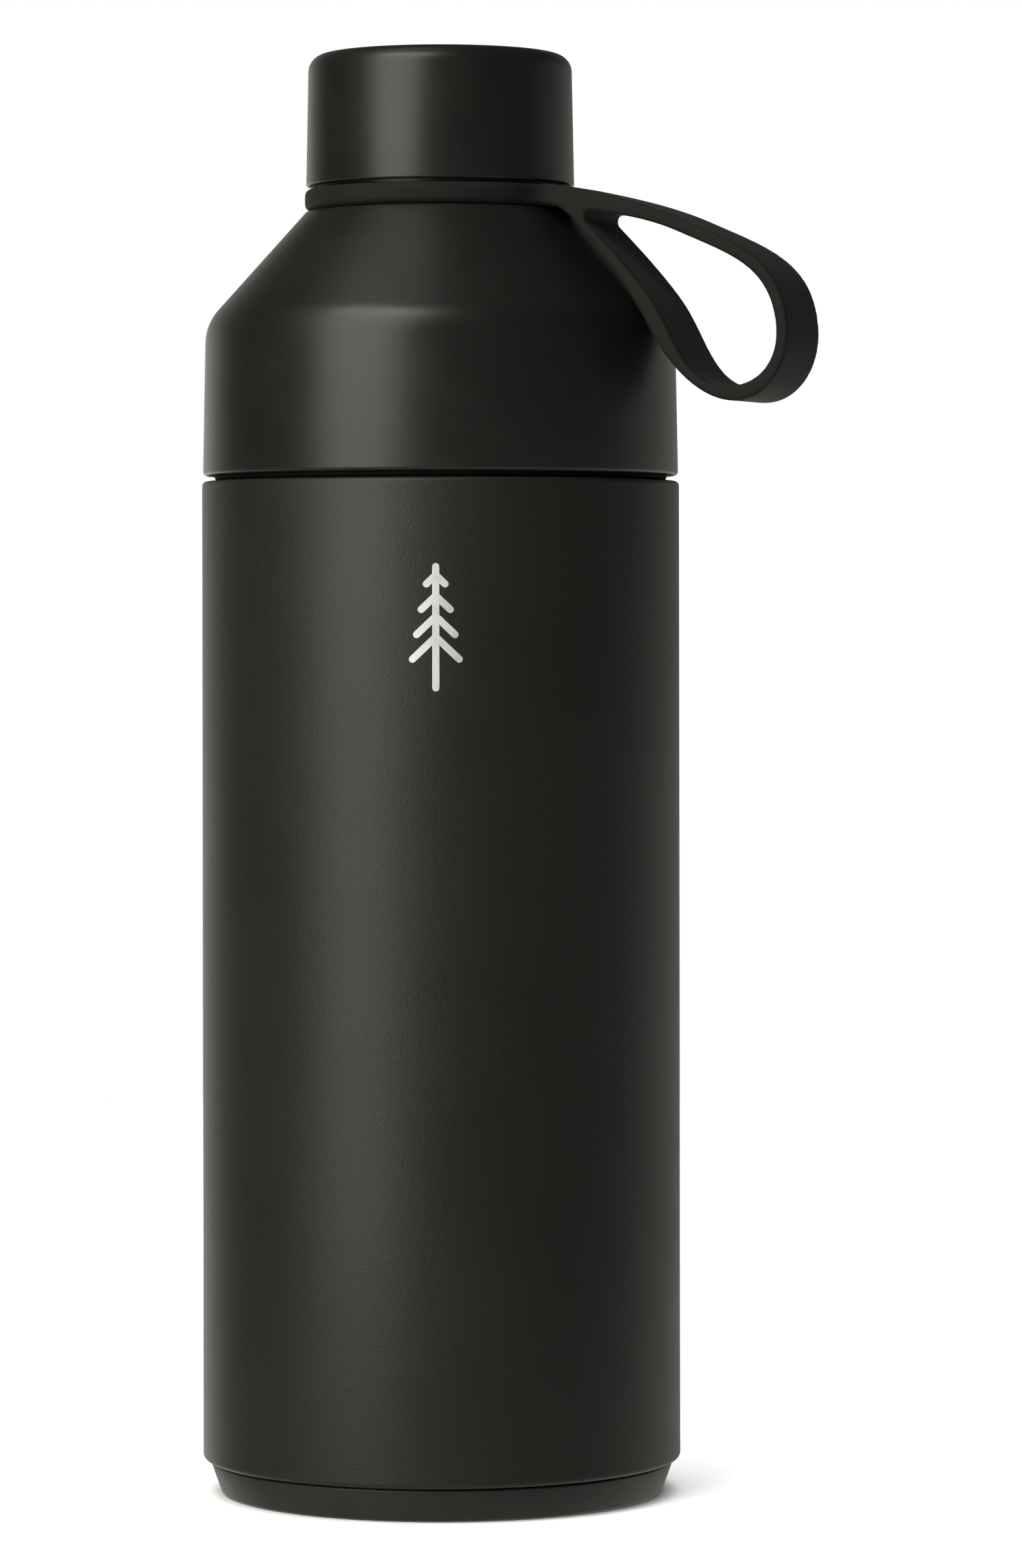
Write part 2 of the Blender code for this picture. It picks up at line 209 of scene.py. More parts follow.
def powder_coat():
    """Matte powder coat: fine fused grains over a slow orange peel, with a few larger flecks."""
    n = Nodes("powder_coat")
    grain = n.cells(0.42, "SMOOTH_F1")
    fine = n.noise(0.2, detail=2.0)
    peel = n.noise(2.6, detail=1.5)
    cloud = n.noise(26.0, detail=2.0)
    clouded = n.spread(cloud, 0.35, 0.65, 0, 1)
    dark = n.mix(clouded, (0.0118, 0.0118, 0.0104), (0.0142, 0.0142, 0.0126))
    fleck = n.mix(0.5, dark, (0.0215, 0.0215, 0.0195))
    color = n.mix(n.spread(grain, 0.05, 0.62, 0, 1), fleck, dark)
    worn = n.spread(cloud, 0.35, 0.65, -0.015, 0.015)
    rough = n.maths("ADD", n.spread(fine, 0.3, 0.7, 0.40, 0.48), worn)
    n.bumps((peel, 0.012), (n.maths("SUBTRACT", 1.0, grain), 0.024), (fine, 0.012))
    return n.finish(color, rough, Specular_IOR_Level=0.44)


def satin_plastic():
    """Fine spark-eroded mould texture, almost smooth, with faint handling marks in the sheen."""
    n = Nodes("satin_plastic")
    fine = n.noise(0.16, detail=2.0)
    waves = n.noise(9.0, detail=2.0)
    smudge = n.noise(17.0, detail=4.0, rough=0.6)
    handled = n.spread(smudge, 0.4, 0.68, 0, 1)
    color = n.mix(handled, (0.0100, 0.0100, 0.0092), (0.0124, 0.0124, 0.0113))
    dulled = n.spread(smudge, 0.4, 0.68, 0, 0.03)
    rough = n.maths("ADD", n.spread(fine, 0.3, 0.7, 0.31, 0.36), dulled)
    n.bumps((waves, 0.01), (fine, 0.004))
    return n.finish(color, rough)


def moulded_plastic():
    """Matte moulding of the boot, the collar, the spout and the cap's inner part."""
    n = Nodes("moulded_plastic")
    fine = n.noise(0.22, detail=3.0)
    scuff = n.noise(6.0, n.node("Mapping", {0: n.place, 3: (1, 1, 5)}).outputs[0], detail=4.0)
    scuffed = n.spread(scuff, 0.45, 0.7, 0, 1)
    color = n.mix(scuffed, (0.0150, 0.0150, 0.0138), (0.0190, 0.0190, 0.0176))
    dulled = n.spread(scuff, 0.45, 0.7, 0, 0.05)
    rough = n.maths("ADD", n.spread(fine, 0.3, 0.7, 0.46, 0.54), dulled)
    n.bumps((n.noise(5.0), 0.008), (fine, 0.007))
    return n.finish(color, rough)


def silicone(name, darker, lighter, sheen):
    """Dry silicone: soft, with a faint bloom and a little lint."""
    n = Nodes(name)
    fine = n.noise(0.25, detail=3.0)
    bloom = n.noise(8.0, detail=4.0, rough=0.6)
    lint = n.spread(n.cells(5.5), 0.0, 0.022, 1, 0)
    soft = n.mix(n.spread(bloom, 0.38, 0.68, 0, 1), darker, lighter)
    color = n.mix(n.maths("MULTIPLY", lint, 0.25), soft, (0.12, 0.12, 0.115))
    rough = n.spread(bloom, 0.35, 0.7, 0.72, 0.82)
    n.bumps((n.noise(3.5), 0.012), (fine, 0.008))
    return n.finish(color, rough, Specular_IOR_Level=0.23, Sheen_Weight=sheen, Sheen_Roughness=0.4)


def turned_steel(name, tint, least_rough, marks):
    """Stainless steel with fine lines round the axis, as spinning and polishing leave them."""
    n = Nodes(name)
    x, y, z = n.axes()
    radius = n.node("VectorMath", {0: n.vector(x, y, 0.0)}, operation="LENGTH").outputs["Value"]

    def drawn_round(share):
        """The place, squeezed to this share round the axis, so that noise there becomes lines."""
        across = [n.maths("MULTIPLY", part, share) for part in (x, y)]
        return n.vector(*across, n.maths("ADD", z, radius))

    lines = n.noise(0.22, drawn_round(0.02), detail=4.0)
    broad = n.noise(2.4, drawn_round(0.05), detail=2.0)
    stain = n.noise(19.0, detail=3.0)
    shade = n.mix(n.spread(stain, 0.35, 0.7, 0, 1), tint, tuple(c * 0.86 for c in tint))
    color = n.mix(n.spread(lines, 0.3, 0.7, 0, 0.35), shade, tuple(c * 0.72 for c in tint))
    lined = n.spread(lines, 0.3, 0.7, least_rough, least_rough + 0.1)
    rough = n.maths("ADD", lined, n.spread(broad, 0.3, 0.7, 0, 0.08))
    n.bumps((broad, marks * 2), (lines, marks))
    return n.finish(color, rough, Metallic=1.0)


def etched_steel():
    """Bare steel where a laser has cut the coat away: matte, in close raster lines."""
    n = Nodes("etched_steel")
    waves = {"Vector": n.place, "Scale": 1700.0, "Distortion": 0.6, "Detail": 1.0}
    raster = n.node("TexWave", waves, bands_direction="Z").outputs["Fac"]
    speck = n.noise(0.12, detail=2.0)
    cloud = n.noise(3.0, detail=2.0)
    color = n.mix(n.spread(speck, 0.35, 0.7, 0, 0.5), (0.96, 0.962, 0.955), (0.80, 0.803, 0.795))
    rough = n.spread(cloud, 0.35, 0.65, 0.50, 0.60)
    n.bumps((raster, 0.004), (speck, 0.004))
    return n.finish(color, rough, Metallic=0.85)


def foam():
    """Closed-cell foam."""
    n = Nodes("foam")
    cell = n.cells(1.1)
    color = n.mix(n.spread(cell, 0.0, 0.6, 0, 1), (0.56, 0.55, 0.50), (0.74, 0.73, 0.68))
    n.bumps((cell, 0.18), (n.noise(0.3), 0.03))
    return n.finish(color, n.spread(n.noise(2.0), 0.3, 0.7, 0.85, 0.95))


def sintered():
    """The dull, porous metal of the getter and the evacuation plug."""
    n = Nodes("sintered_metal")
    pore = n.cells(0.5)
    color = n.mix(n.spread(pore, 0.02, 0.4, 0, 1), (0.16, 0.155, 0.15), (0.36, 0.35, 0.33))
    n.bumps((pore, 0.05))
    return n.finish(color, n.spread(n.noise(1.0), 0.3, 0.7, 0.5, 0.68), Metallic=0.9)


COAT = powder_coat()
SATIN = satin_plastic()
PLASTIC = moulded_plastic()
SILICONE = silicone("silicone", (0.0104, 0.0104, 0.0094), (0.0138, 0.0138, 0.0127), 0.04)
# Painted shade: the seals' silicone is made darker than its own colour, so that the groove between
# the flask and the top section looks as dark as the shade in it. The cap's seal shares this
# material.
SEAL_PAINTED_SHADE = silicone("seal_painted_shade_silicone", (0.0035, 0.0035, 0.0032), (0.0050, 0.0050, 0.0046), 0.0)
STEEL = turned_steel("turned_steel", (0.60, 0.595, 0.58), 0.2, 0.0015)
SHEET_STEEL = turned_steel("sheet_steel", (0.52, 0.515, 0.50), 0.3, 0.003)
ETCHED = etched_steel()
FOAM = foam()
SINTERED = sintered()


# Outlines ----------------------------------------------------------------------------------------


def fillet(before, corner, after, radius):
    """The points of an arc of this radius that rounds a corner."""
    into = (corner - before).normalized()
    out = (after - corner).normalized()
    turn = into.angle_signed(out)
    start = corner - into * radius * math.tan(abs(turn) / 2)
    centre = start + Vector((into.y, -into.x)) * math.copysign(radius, turn)
    steps = max(3, math.ceil(abs(turn) / (2 * math.acos(1 - min(CHORD / radius, 0.5)))))
    turns = [Matrix.Rotation(-turn * i / steps, 2) for i in range(steps + 1)]
    return [centre + rotation @ (start - centre) for rotation in turns]


def rounded(corners, closed=True):
    """An outline with its corners filleted. An open one starts and ends on the axis."""
    spots = [Vector(c[:2]) for c in corners]
    points = []
    for i, corner in enumerate(corners):
        at_end = not closed and i in (0, len(corners) - 1)
        radius = corner[2] if len(corner) == 3 and not at_end else 0
        after = spots[(i + 1) % len(spots)]
        points += fillet(spots[i - 1], spots[i], after, radius) if radius else [spots[i]]
    return points


def sheet(corners, thickness):
    """The closed outline of a bent sheet: a path, and the same path moved to its left."""
    path = rounded(corners, closed=False)
    sides = [Vector((a.y - b.y, b.x - a.x)).normalized() for a, b in zip(path, path[1:])]
    other = []
    for point, before, after in zip(path, sides[:1] + sides, sides + sides[-1:]):
        middle = (before + after).normalized()
        other.append(point + middle * thickness / middle.dot(before))
    for end in (0, -1):
        if abs(path[end].x) < 1e-6:
            other[end].x = 0
    return path + other[::-1]


def arc(centre, radius, angles, steps):
    """Points on an arc from the first angle to the last, in degrees."""
    first, last = (math.radians(a) for a in angles)
    turns = [first + (last - first) * i / steps for i in range(steps + 1)]
    x, y = centre
    return [Vector((x + radius * math.cos(a), y + radius * math.sin(a))) for a in turns]


def cone_r(z, depth=0.0):
    """Radius of the top section's cone at a height, or of a cone this deep inside it."""
    return LEDGE_R + (LEDGE_Z - z) * CONE_SLOPE - depth * math.hypot(1, CONE_SLOPE)


def cone_z(radius, depth=0.0):
    """The height at which that cone has this radius."""
    return LEDGE_Z - (radius + depth * math.hypot(1, CONE_SLOPE) - LEDGE_R) / CONE_SLOPE


# Meshes ------------------------------------------------------------------------------------------


def mesh_object(bm, name, material, sharp=32):
    bmesh.ops.recalc_face_normals(bm, faces=bm.faces)
    mesh = bpy.data.meshes.new(name)
    bm.to_mesh(mesh)
    bm.free()
    mesh.shade_smooth()
    mesh.set_sharp_from_angle(angle=math.radians(sharp))
    obj = bpy.data.objects.new(name, mesh)
    obj.data.materials.append(material)
    bpy.context.scene.collection.objects.link(obj)
    return obj


def turned(name, points, material, steps=WIDE_STEPS):
    """A body of revolution. An outline that starts on the axis is open, any other is closed."""
    bm = bmesh.new()
    verts = [bm.verts.new((p[0] * MM, 0, p[1] * MM)) for p in points]
    edges = [bm.edges.new(pair) for pair in zip(verts, verts[1:])]
    if points[0][0] > 0:
        edges.append(bm.edges.new((verts[-1], verts[0])))
    whole_turn = {"axis": (0, 0, 1), "cent": (0, 0, 0), "angle": math.tau, "steps": steps}
    bmesh.ops.spin(bm, geom=verts + edges, use_merge=True, **whole_turn)
    bmesh.ops.remove_doubles(bm, verts=bm.verts, dist=1e-6)
    return mesh_object(bm, name, material)


def extruded(name, outlines, span, material, axis="Y"):
    """A plate with this outline and any holes in it, which spans these two places on the axis.

    The outline is in the plane (x, z) for axis Y, and (x, y) for axis Z.
    """
    low_side, high_side = span
    bm = bmesh.new()
    for points in outlines:
        if axis == "Y":
            verts = [bm.verts.new((p[0] * MM, low_side * MM, p[1] * MM)) for p in points]
        else:
            verts = [bm.verts.new((p[0] * MM, p[1] * MM, low_side * MM)) for p in points]
        for pair in zip(verts, verts[1:] + verts[:1]):
            bm.edges.new(pair)
    bmesh.ops.triangle_fill(bm, edges=bm.edges, use_beauty=True)
    made = bmesh.ops.extrude_face_region(bm, geom=bm.faces[:])
    moved = [g for g in made["geom"] if isinstance(g, bmesh.types.BMVert)]
    width = (high_side - low_side) * MM
    step = (0, width, 0) if axis == "Y" else (0, 0, width)
    bmesh.ops.translate(bm, verts=moved, vec=step)
    return mesh_object(bm, name, material)


def apply_modifiers(obj):
    """Replaces an object's mesh by what its modifiers make of it."""
    made = bpy.data.meshes.new_from_object(obj.evaluated_get(bpy.context.evaluated_depsgraph_get()))
    obj.modifiers.clear()
    old = obj.data
    obj.data = made
    bpy.data.meshes.remove(old)


def unite(obj, tools):
    """Unites helpers with an object and removes them."""
    for tool in tools:
        modifier = obj.modifiers.new("unite", "BOOLEAN")
        modifier.operation = "UNION"
        modifier.solver = "EXACT"
        modifier.object = tool
    apply_modifiers(obj)
    for tool in tools:
        bpy.data.objects.remove(tool)


# Half of a thread ridge's section: distance out from the wall, and half its height there
THREAD_PROFILE = [(-0.3, 1.18), (0.0, 1.02), (0.55, 0.80), (1.0, 0.62), (1.22, 0.50), (1.3, 0.32)]
THREAD_FADE = 0.1  # the share of a ridge's length over which it grows at each end
THREAD_END = 0.12  # the share of its height that it ends with


def ridge(wall_r, outward, middle_z, start_angle, material, steps=112):
    """One thread ridge with rounded crests that fades in at both ends."""
    bm = bmesh.new()
    section = [(reach, -rise) for reach, rise in THREAD_PROFILE] + THREAD_PROFILE[::-1]
    rings = []
    for i in range(steps + 1):
        share = i / steps
        ease = min(1.0, min(share, 1 - share) / THREAD_FADE)
        grown = THREAD_END + (1 - THREAD_END) * ease * ease * (3 - 2 * ease)
        angle = start_angle + share * THREAD_TURNS * math.tau
        z = middle_z + (share - 0.5) * THREAD_TURNS * LEAD
        ring = []
        for reach, rise in section:
            r = wall_r + outward * (reach if reach < 0 else reach * grown)
            height = z + rise * (0.5 + 0.5 * grown)
            x, y = r * math.cos(angle), r * math.sin(angle)
            ring.append(bm.verts.new((x * MM, y * MM, height * MM)))
        rings.append(ring)
    count = len(section)
    for near, far in zip(rings, rings[1:]):
        for j in range(count):
            k = (j + 1) % count
            bm.faces.new((near[j], near[k], far[k], far[j]))
    bm.faces.new(rings[0])
    bm.faces.new(rings[-1][::-1])
    return mesh_object(bm, "ridge", material)


def add_thread(obj, wall_r, outward, middle_z, cad_steps):
    """Two ridges at the same turn as the CAD's, which start half a CAD facet round."""
    material = obj.data.materials[0]
    starts = [math.tau * (0.5 / cad_steps + start / 2) for start in range(2)]
    unite(obj, [ridge(wall_r, outward, middle_z, start, material) for start in starts])


def place(piece, body, slot, *nodes):
    """Puts a piece on its body in place of the CAD nodes. The material slot is not used."""
    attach(piece, body)
    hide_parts(*nodes)


# Flask -------------------------------------------------------------------------------------------


def flask_shell():
    """The coated shell. Two rings on the way up keep its long faces short."""
    mouth_r = BODY_R - ROLL_IN
    path = [
        (BODY_R - HEM, SHELL_FOOT_Z),
        (BODY_R, SHELL_FOOT_Z, 0.9),
        (BODY_R, 60),
        (BODY_R, 130),
        (BODY_R, RIM_Z, 0.9),
        (mouth_r, RIM_Z, 0.8),
        (mouth_r, RIM_Z - 3.7),
    ]
    place(turned("flask_shell", sheet(path, 0.6), COAT), "flask", "powder_coat", "outer_shell")


def flask_liner():
    mouth_r = BODY_R - ROLL_IN - GAP
    outer_r, wall = 42.0, 0.55
    foot_z, dome_z = 17.2, 18.8
    path = [
        (0, dome_z),
        (24, foot_z, 30),
        (outer_r, foot_z, 9),
        (outer_r, RIM_Z - 18, 4),
        (mouth_r, RIM_Z - 14, 4),
        (mouth_r, RIM_Z),
    ]
    liner = turned("flask_liner", sheet(path, wall), STEEL)
    add_thread(liner, mouth_r - wall, -1, JOINT_THREAD_Z + HALF_PITCH, WIDE_THREAD_CAD_STEPS)
    place(liner, "flask", "brushed_steel", "inner_liner")


def boot():
    """The moulded foot: a floor, and a wall that reaches up inside the shell."""
    wall_r, wall, wall_top_z = BODY_R - HEM - GAP, 1.5, 9.0
    top_z, floor_z = SHELL_FOOT_Z - GAP, 3.4
    recess_r, recess_z = PAD_R + GAP, 1.9
    outline = [
        (0, recess_z),
        (recess_r, recess_z, 0.15),
        (recess_r, 0, 0.3),
        (FOOT_R, 0, 1.0),
        (BODY_R - 1.3, top_z, 0.3),
        (wall_r, top_z),
        (wall_r, wall_top_z, 0.3),
        (wall_r - wall, wall_top_z, 0.3),
        (wall_r - wall, floor_z),
        (0, floor_z),
    ]
    piece = turned("boot", rounded(outline, closed=False), PLASTIC)
    place(piece, "flask", "black_plastic", "base_boot")


def foot_pad():
    """The pad under the boot, with shallow rings that grip."""
    groove_z, top_z = 0.5, 1.6
    outline = [(0, groove_z)]
    for ring in range(6):
        inner = 5.0 + 5.4 * ring
        outline += [
            (inner, groove_z, 0.2),
            (inner + 0.5, 0, 0.3),
            (inner + 4.2, 0, 0.3),
            (inner + 4.7, groove_z, 0.2),
        ]
    outline += [(PAD_R, groove_z, 0.3), (PAD_R, top_z, 0.3), (0, top_z)]
    piece = turned("foot_pad", rounded(outline, closed=False), SILICONE)
    place(piece, "flask", "silicone", "base_pad")


def segment_points(start, end, step):
    """Points along a straight line, at most a step apart, with both its ends."""
    count = max(1, math.ceil((end - start).length / step))
    return [start.lerp(end, i / count) for i in range(count + 1)]


def stroke_outline(start, end, width):
    """A stroke with round ends, as a closed ring of points."""
    along = (end - start).normalized()
    turn = math.degrees(math.atan2(along.y, along.x))
    half, step, end_steps = width / 2, 0.5, 10
    side = Vector((-along.y, along.x)) * half
    ring = segment_points(start - side, end - side, step)[1:-1]
    ring += arc(end, half, (turn - 90, turn + 90), end_steps)
    ring += segment_points(end + side, start + side, step)[1:-1]
    ring += arc(start, half, (turn + 90, turn + 270), end_steps)
    return ring


MARK_X, MARK_Z = -0.4, 162.8
MARK_WIDTH, MARK_HEIGHT = 9.8, 23.3
MARK_LINE = 1.3
MARK_PROUD = 0.02
MARK_DEPTH = 0.1
TIERS = (1.0, 0.82, 0.62, 0.4)  # reach of each pair of branches, from the lowest up
FIRST_TIER, TIER_STEP = 0.42, 0.17  # where they leave the stem, as shares of its length
BRANCH_DROP = 0.95


def conifer():
    """The strokes of a plain conifer, each from a start to an end, about its middle."""
    half = MARK_WIDTH / 2 - MARK_LINE / 2
    foot = Vector((0, -MARK_HEIGHT / 2 + MARK_LINE / 2))
    tip = Vector((0, MARK_HEIGHT / 2 - MARK_LINE / 2))
    strokes = [(foot, tip)]
    for tier, reach in enumerate(TIERS):
        root = foot.lerp(tip, FIRST_TIER + TIER_STEP * tier)
        for side in (-1, 1):
            branch = Vector((side * half * reach, -half * reach * BRANCH_DROP))
            strokes.append((root, root + branch))
    return strokes


def mark():
    """A plain conifer in line work, etched through the coat. It stands for no maker."""
    verts, faces = [], []
    for start, end in conifer():
        ring = stroke_outline(start, end, MARK_LINE)
        faces.append(list(range(len(verts), len(verts) + len(ring))))
        verts += ring
    flat, _, triangles, _, _, _ = delaunay_2d_cdt(verts, [], faces, 1, 1e-4)
    bm = bmesh.new()
    radius = BODY_R + MARK_PROUD
    spots = []
    for p in flat:
        angle = (p.x + MARK_X) / BODY_R
        x, y = radius * math.sin(angle), -radius * math.cos(angle)
        spots.append(bm.verts.new((x * MM, y * MM, (p.y + MARK_Z) * MM)))
    for triangle in triangles:
        bm.faces.new([spots[i] for i in triangle])
    made = bmesh.ops.extrude_face_region(bm, geom=bm.faces[:])
    for vert in (g for g in made["geom"] if isinstance(g, bmesh.types.BMVert)):
        outward = Vector((vert.co.x, vert.co.y, 0)).normalized()
        vert.co -= outward * MARK_DEPTH * MM
    piece = mesh_object(bm, "etched_mark", ETCHED)
    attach(piece, "flask")


# Top section -------------------------------------------------------------------------------------


def joint_seal():
    seat = RIM_Z + GAP
    inner_r, lip_r = 39.3, 40.2
    outline = [
        (inner_r, seat, 0.25),
        (SEAL_R, seat, 0.25),
        (SEAL_R, seat + 0.9, 0.2),
        (lip_r, seat + 0.9, 0.2),
        (lip_r, seat + 2.3, 0.2),
        (inner_r, seat + 2.3, 0.2),
    ]
    piece = turned("joint_seal_ring", rounded(outline), SEAL_PAINTED_SHADE)
    place(piece, "joint_seal", "silicone", "joint_gasket")


def collar():
    foot_z, top_z = low("joint_collar"), 200.5
    flange_z = RIM_Z + FLANGE_RISE
    lip_z, deck_z = flange_z + 1.4, flange_z + 3.9
    bore_r, outer_r, lip_r, skirt_r = 36.8, 38.9, 40.5, 41.0
    outline = [
        (bore_r, foot_z, 0.4),
        (outer_r, foot_z, 0.6),
        (outer_r, lip_z),
        (lip_r, lip_z),
        (lip_r, flange_z),
        (SEAL_R, flange_z, 0.2),
        (SEAL_R, top_z),
        (skirt_r, top_z),
        (skirt_r, deck_z),
        (bore_r, deck_z, 0.6),
    ]
    piece = turned("collar", rounded(outline), PLASTIC)
    add_thread(piece, outer_r, 1, JOINT_THREAD_Z, WIDE_THREAD_CAD_STEPS)
    place(piece, "top_section", "black_plastic", "joint_collar")


def shoulder():
    bore_r, foot_r, wall, bend = SEAL_R + GAP, 44.83, 1.6, 9.5
    neck_r, lip_r, neck_bore_r = 22.4, 23.3, 20.9
    ceiling_z = LEDGE_Z - 1.8
    outline = [
        (bore_r, TOP_FOOT_Z, 0.25),
        (foot_r, TOP_FOOT_Z, 0.8),
        (SHOULDER_R, SHOULDER_Z, bend),
        (LEDGE_R, LEDGE_Z, 0.4),
        (neck_r, LEDGE_Z, 0.2),
        (neck_r, NECK_TOP_Z - 1.0),
        (lip_r, NECK_TOP_Z - 1.0),
        (lip_r, NECK_TOP_Z, 0.4),
        (neck_bore_r, NECK_TOP_Z),
        (neck_bore_r, ceiling_z),
        (cone_r(ceiling_z, wall), ceiling_z),
        (bore_r, cone_z(bore_r, wall), bend - wall),
    ]
    piece = turned("shoulder", rounded(outline), SATIN, GLOSSY_STEPS)
    place(piece, "top_section", "satin_plastic", "shoulder_shell")


def funnel():
    neck_r = 17.7
    path = [
        (FUNNEL_R, low("shoulder_liner")),
        (FUNNEL_R, cone_z(FUNNEL_R, FUNNEL_DEPTH), 5.0),
        (neck_r, cone_z(neck_r, FUNNEL_DEPTH), 1.2),
        (neck_r, high("shoulder_liner")),
    ]
    piece = turned("funnel", sheet(path, 0.5), STEEL)
    place(piece, "top_section", "brushed_steel", "shoulder_liner")


def spout():
    foot_z, step_z = low("spout_neck"), 243.0
    flange_z = NECK_TOP_Z + GAP
    deck_z = flange_z + 1.5
    bore_r, skirt_bore_r, skirt_r, flange_r = 16.6, 18.0, 20.6, 22.6
    outline = [
        (bore_r, SPOUT_RIM_Z, 0.8),
        (bore_r, step_z),
        (skirt_bore_r, step_z),
        (skirt_bore_r, foot_z),
        (skirt_r, foot_z, 0.3),
        (skirt_r, flange_z),
        (flange_r, flange_z),
        (flange_r, deck_z, 0.4),
        (SPOUT_R, deck_z, 0.5),
        (SPOUT_R, SPOUT_RIM_Z, 0.9),
    ]
    piece = turned("spout", rounded(outline), PLASTIC, NARROW_STEPS)
    add_thread(piece, SPOUT_R, 1, CAP_THREAD_Z, NARROW_THREAD_CAD_STEPS)
    place(piece, "top_section", "black_plastic", "spout_neck")


# Cap ---------------------------------------------------------------------------------------------


def cap_seal():
    seat, top = low("cap_gasket"), high("cap_gasket")
    inner_r, outer_r = 14.6, 20.1
    outline = [(inner_r, seat, 0.4), (outer_r, seat, 0.4), (outer_r, top, 0.3), (inner_r, top, 0.3)]
    piece = turned("cap_seal_ring", rounded(outline), SEAL_PAINTED_SHADE, NARROW_STEPS)
    place(piece, "cap_seal", "silicone", "cap_gasket")


def cap_cover():
    ceiling_z = HEIGHT - 1.8
    bore_r, foot_r, crown_r = 23.6, 25.3, 24.82
    outline = [
        (0, ceiling_z),
        (CAP_LINER_R, ceiling_z, 1.6),
        (bore_r, CAP_FOOT_Z, 0.25),
        (foot_r, CAP_FOOT_Z, 0.35),
        (crown_r, HEIGHT, 3.3),
        (0, HEIGHT),
    ]
    piece = turned("cap_cover", rounded(outline, closed=False), SATIN, GLOSSY_STEPS)
    place(piece, "cap", "satin_plastic", "cap_shell")


def cap_inside():
    bore_r, cup_r = 20.4, 22.0
    foot_z, step_z, ceiling_z, top_z = low("cap_liner"), 250.0, 264.5, high("cap_liner")
    outline = [
        (0, ceiling_z),
        (bore_r, ceiling_z, 0.5),
        (bore_r, foot_z, 0.3),
        (CAP_LINER_R, foot_z, 0.3),
        (CAP_LINER_R, step_z, 0.2),
        (cup_r, step_z),
        (cup_r, top_z, 0.8),
        (0, top_z),
    ]
    piece = turned("cap_inside", rounded(outline, closed=False), PLASTIC, NARROW_STEPS)
    add_thread(piece, bore_r, -1, CAP_THREAD_Z + HALF_PITCH, NARROW_THREAD_CAD_STEPS)
    place(piece, "cap", "black_plastic", "cap_liner")


# Carry ring and loop -----------------------------------------------------------------------------

# Knots: distance from the axis, height, direction in degrees, handle before, handle after
LOOP_OUTSIDE = [
    (25.0, RING_TOP_Z - 0.02, -1, 0, 1.7),
    (30.3, 244.45, -12, 1.8, 7.2),
    (52.5, 238.0, -23.5, 7.7, 12.5),
    (73.9, 217.7, -86.5, 12.5, 7.6),
    (61.9, 204.3, 172, 7.5, 6.6),
    (46.2, 218.1, 118, 7.0, 7.5),
    (31.2, 238.1, 132.5, 7.0, 1.6),
    (25.6, RING_LOW_Z + 0.02, 179, 2.6, 0),
]
LOOP_HOLE = [
    (34.2, 239.9, -7, 0.3, 2.5),
    (51.8, 235.65, -23.5, 7.4, 11.6),
    (71.5, 218.9, -81, 10.2, 7.2),
    (62.1, 206.95, 179, 6.3, 8.4),
    (47.9, 221.6, 121.5, 8.0, 5.6),
    (33.6, 237.85, 135, 5.4, 0.4),
    (33.35, 238.85, 90, 0.5, 0.3),
]
ROOT_X = 23.6  # how far into the ring the strap reaches
WEB_BLEND_R = 5.0
MOULDING_VOXEL = 0.3


def heading(degrees):
    return Vector((math.cos(math.radians(degrees)), math.sin(math.radians(degrees))))


def bezier_path(knots, steps=14):
    """Points on the curve through the knots, without its last one."""
    points = []
    for near, far in zip(knots, knots[1:]):
        start, end = Vector(near[:2]), Vector(far[:2])
        leaving = start + heading(near[2]) * near[4]
        arriving = end - heading(far[2]) * far[3]
        points += interpolate_bezier(start, leaving, arriving, end, steps + 1)[:-1]
    return points


def loop_web(blend_r):
    """The tab from above: it leaves the ring in concave curves of this radius, into the strap."""
    reach = RING_R + blend_r
    side_y = STRAP_HALF_WIDTH + blend_r
    centre = Vector((math.sqrt(reach**2 - side_y**2), side_y))
    touch = math.degrees(math.atan2(-centre.y, -centre.x))
    curve = arc(centre, blend_r, (touch, -90), 14)
    upper = [Vector((centre.x + 0.6, STRAP_HALF_WIDTH)), *reversed(curve)]
    inner_r = RING_BORE_R + 0.9
    inner = arc((0, 0), inner_r, (math.degrees(math.atan2(centre.y, centre.x)), 0), 10)[:-1]
    half = upper + inner
    return half + [Vector((inner_r, 0))] + [Vector((p.x, -p.y)) for p in reversed(half)]


def carry_loop():
    """The ring and the strap, which are one moulding, with the moulding's soft edges."""
    ring = [
        (RING_BORE_R, RING_LOW_Z),
        (RING_R, RING_LOW_Z, 1.0),
        (RING_R, RING_TOP_Z, 1.0),
        (RING_BORE_R, RING_TOP_Z),
    ]
    piece = turned("carry_strap", rounded(ring), SILICONE)
    end_x, end_z = LOOP_OUTSIDE[-1][:2]
    root = [(end_x, end_z), (ROOT_X, RING_LOW_Z + 0.05), (ROOT_X, RING_TOP_Z - 0.05)]
    outside = bezier_path(LOOP_OUTSIDE) + [Vector(corner) for corner in root]
    hole = bezier_path(LOOP_HOLE + LOOP_HOLE[:1])
    across = (-STRAP_HALF_WIDTH, STRAP_HALF_WIDTH)
    strap = extruded("strap", [outside, hole], across, SILICONE)
    web_span = (RING_LOW_Z + 0.1, RING_TOP_Z - 0.35)
    web = extruded("web", [loop_web(WEB_BLEND_R)], web_span, SILICONE, axis="Z")
    unite(piece, [strap, web])
    remesh = piece.modifiers.new("moulding", "REMESH")
    remesh.mode = "VOXEL"
    remesh.voxel_size = MOULDING_VOXEL * MM
    smooth = piece.modifiers.new("soft_edges", "CORRECTIVE_SMOOTH")
    smooth.factor = 0.5
    smooth.iterations = 6
    smooth.use_only_smooth = True
    piece.rotation_euler.z = LOOP_AZIMUTH
    apply_modifiers(piece)
    piece.data.transform(Matrix.Rotation(LOOP_AZIMUTH, 4, "Z"))
    piece.rotation_euler.z = 0
    piece.data.shade_smooth()
    return piece


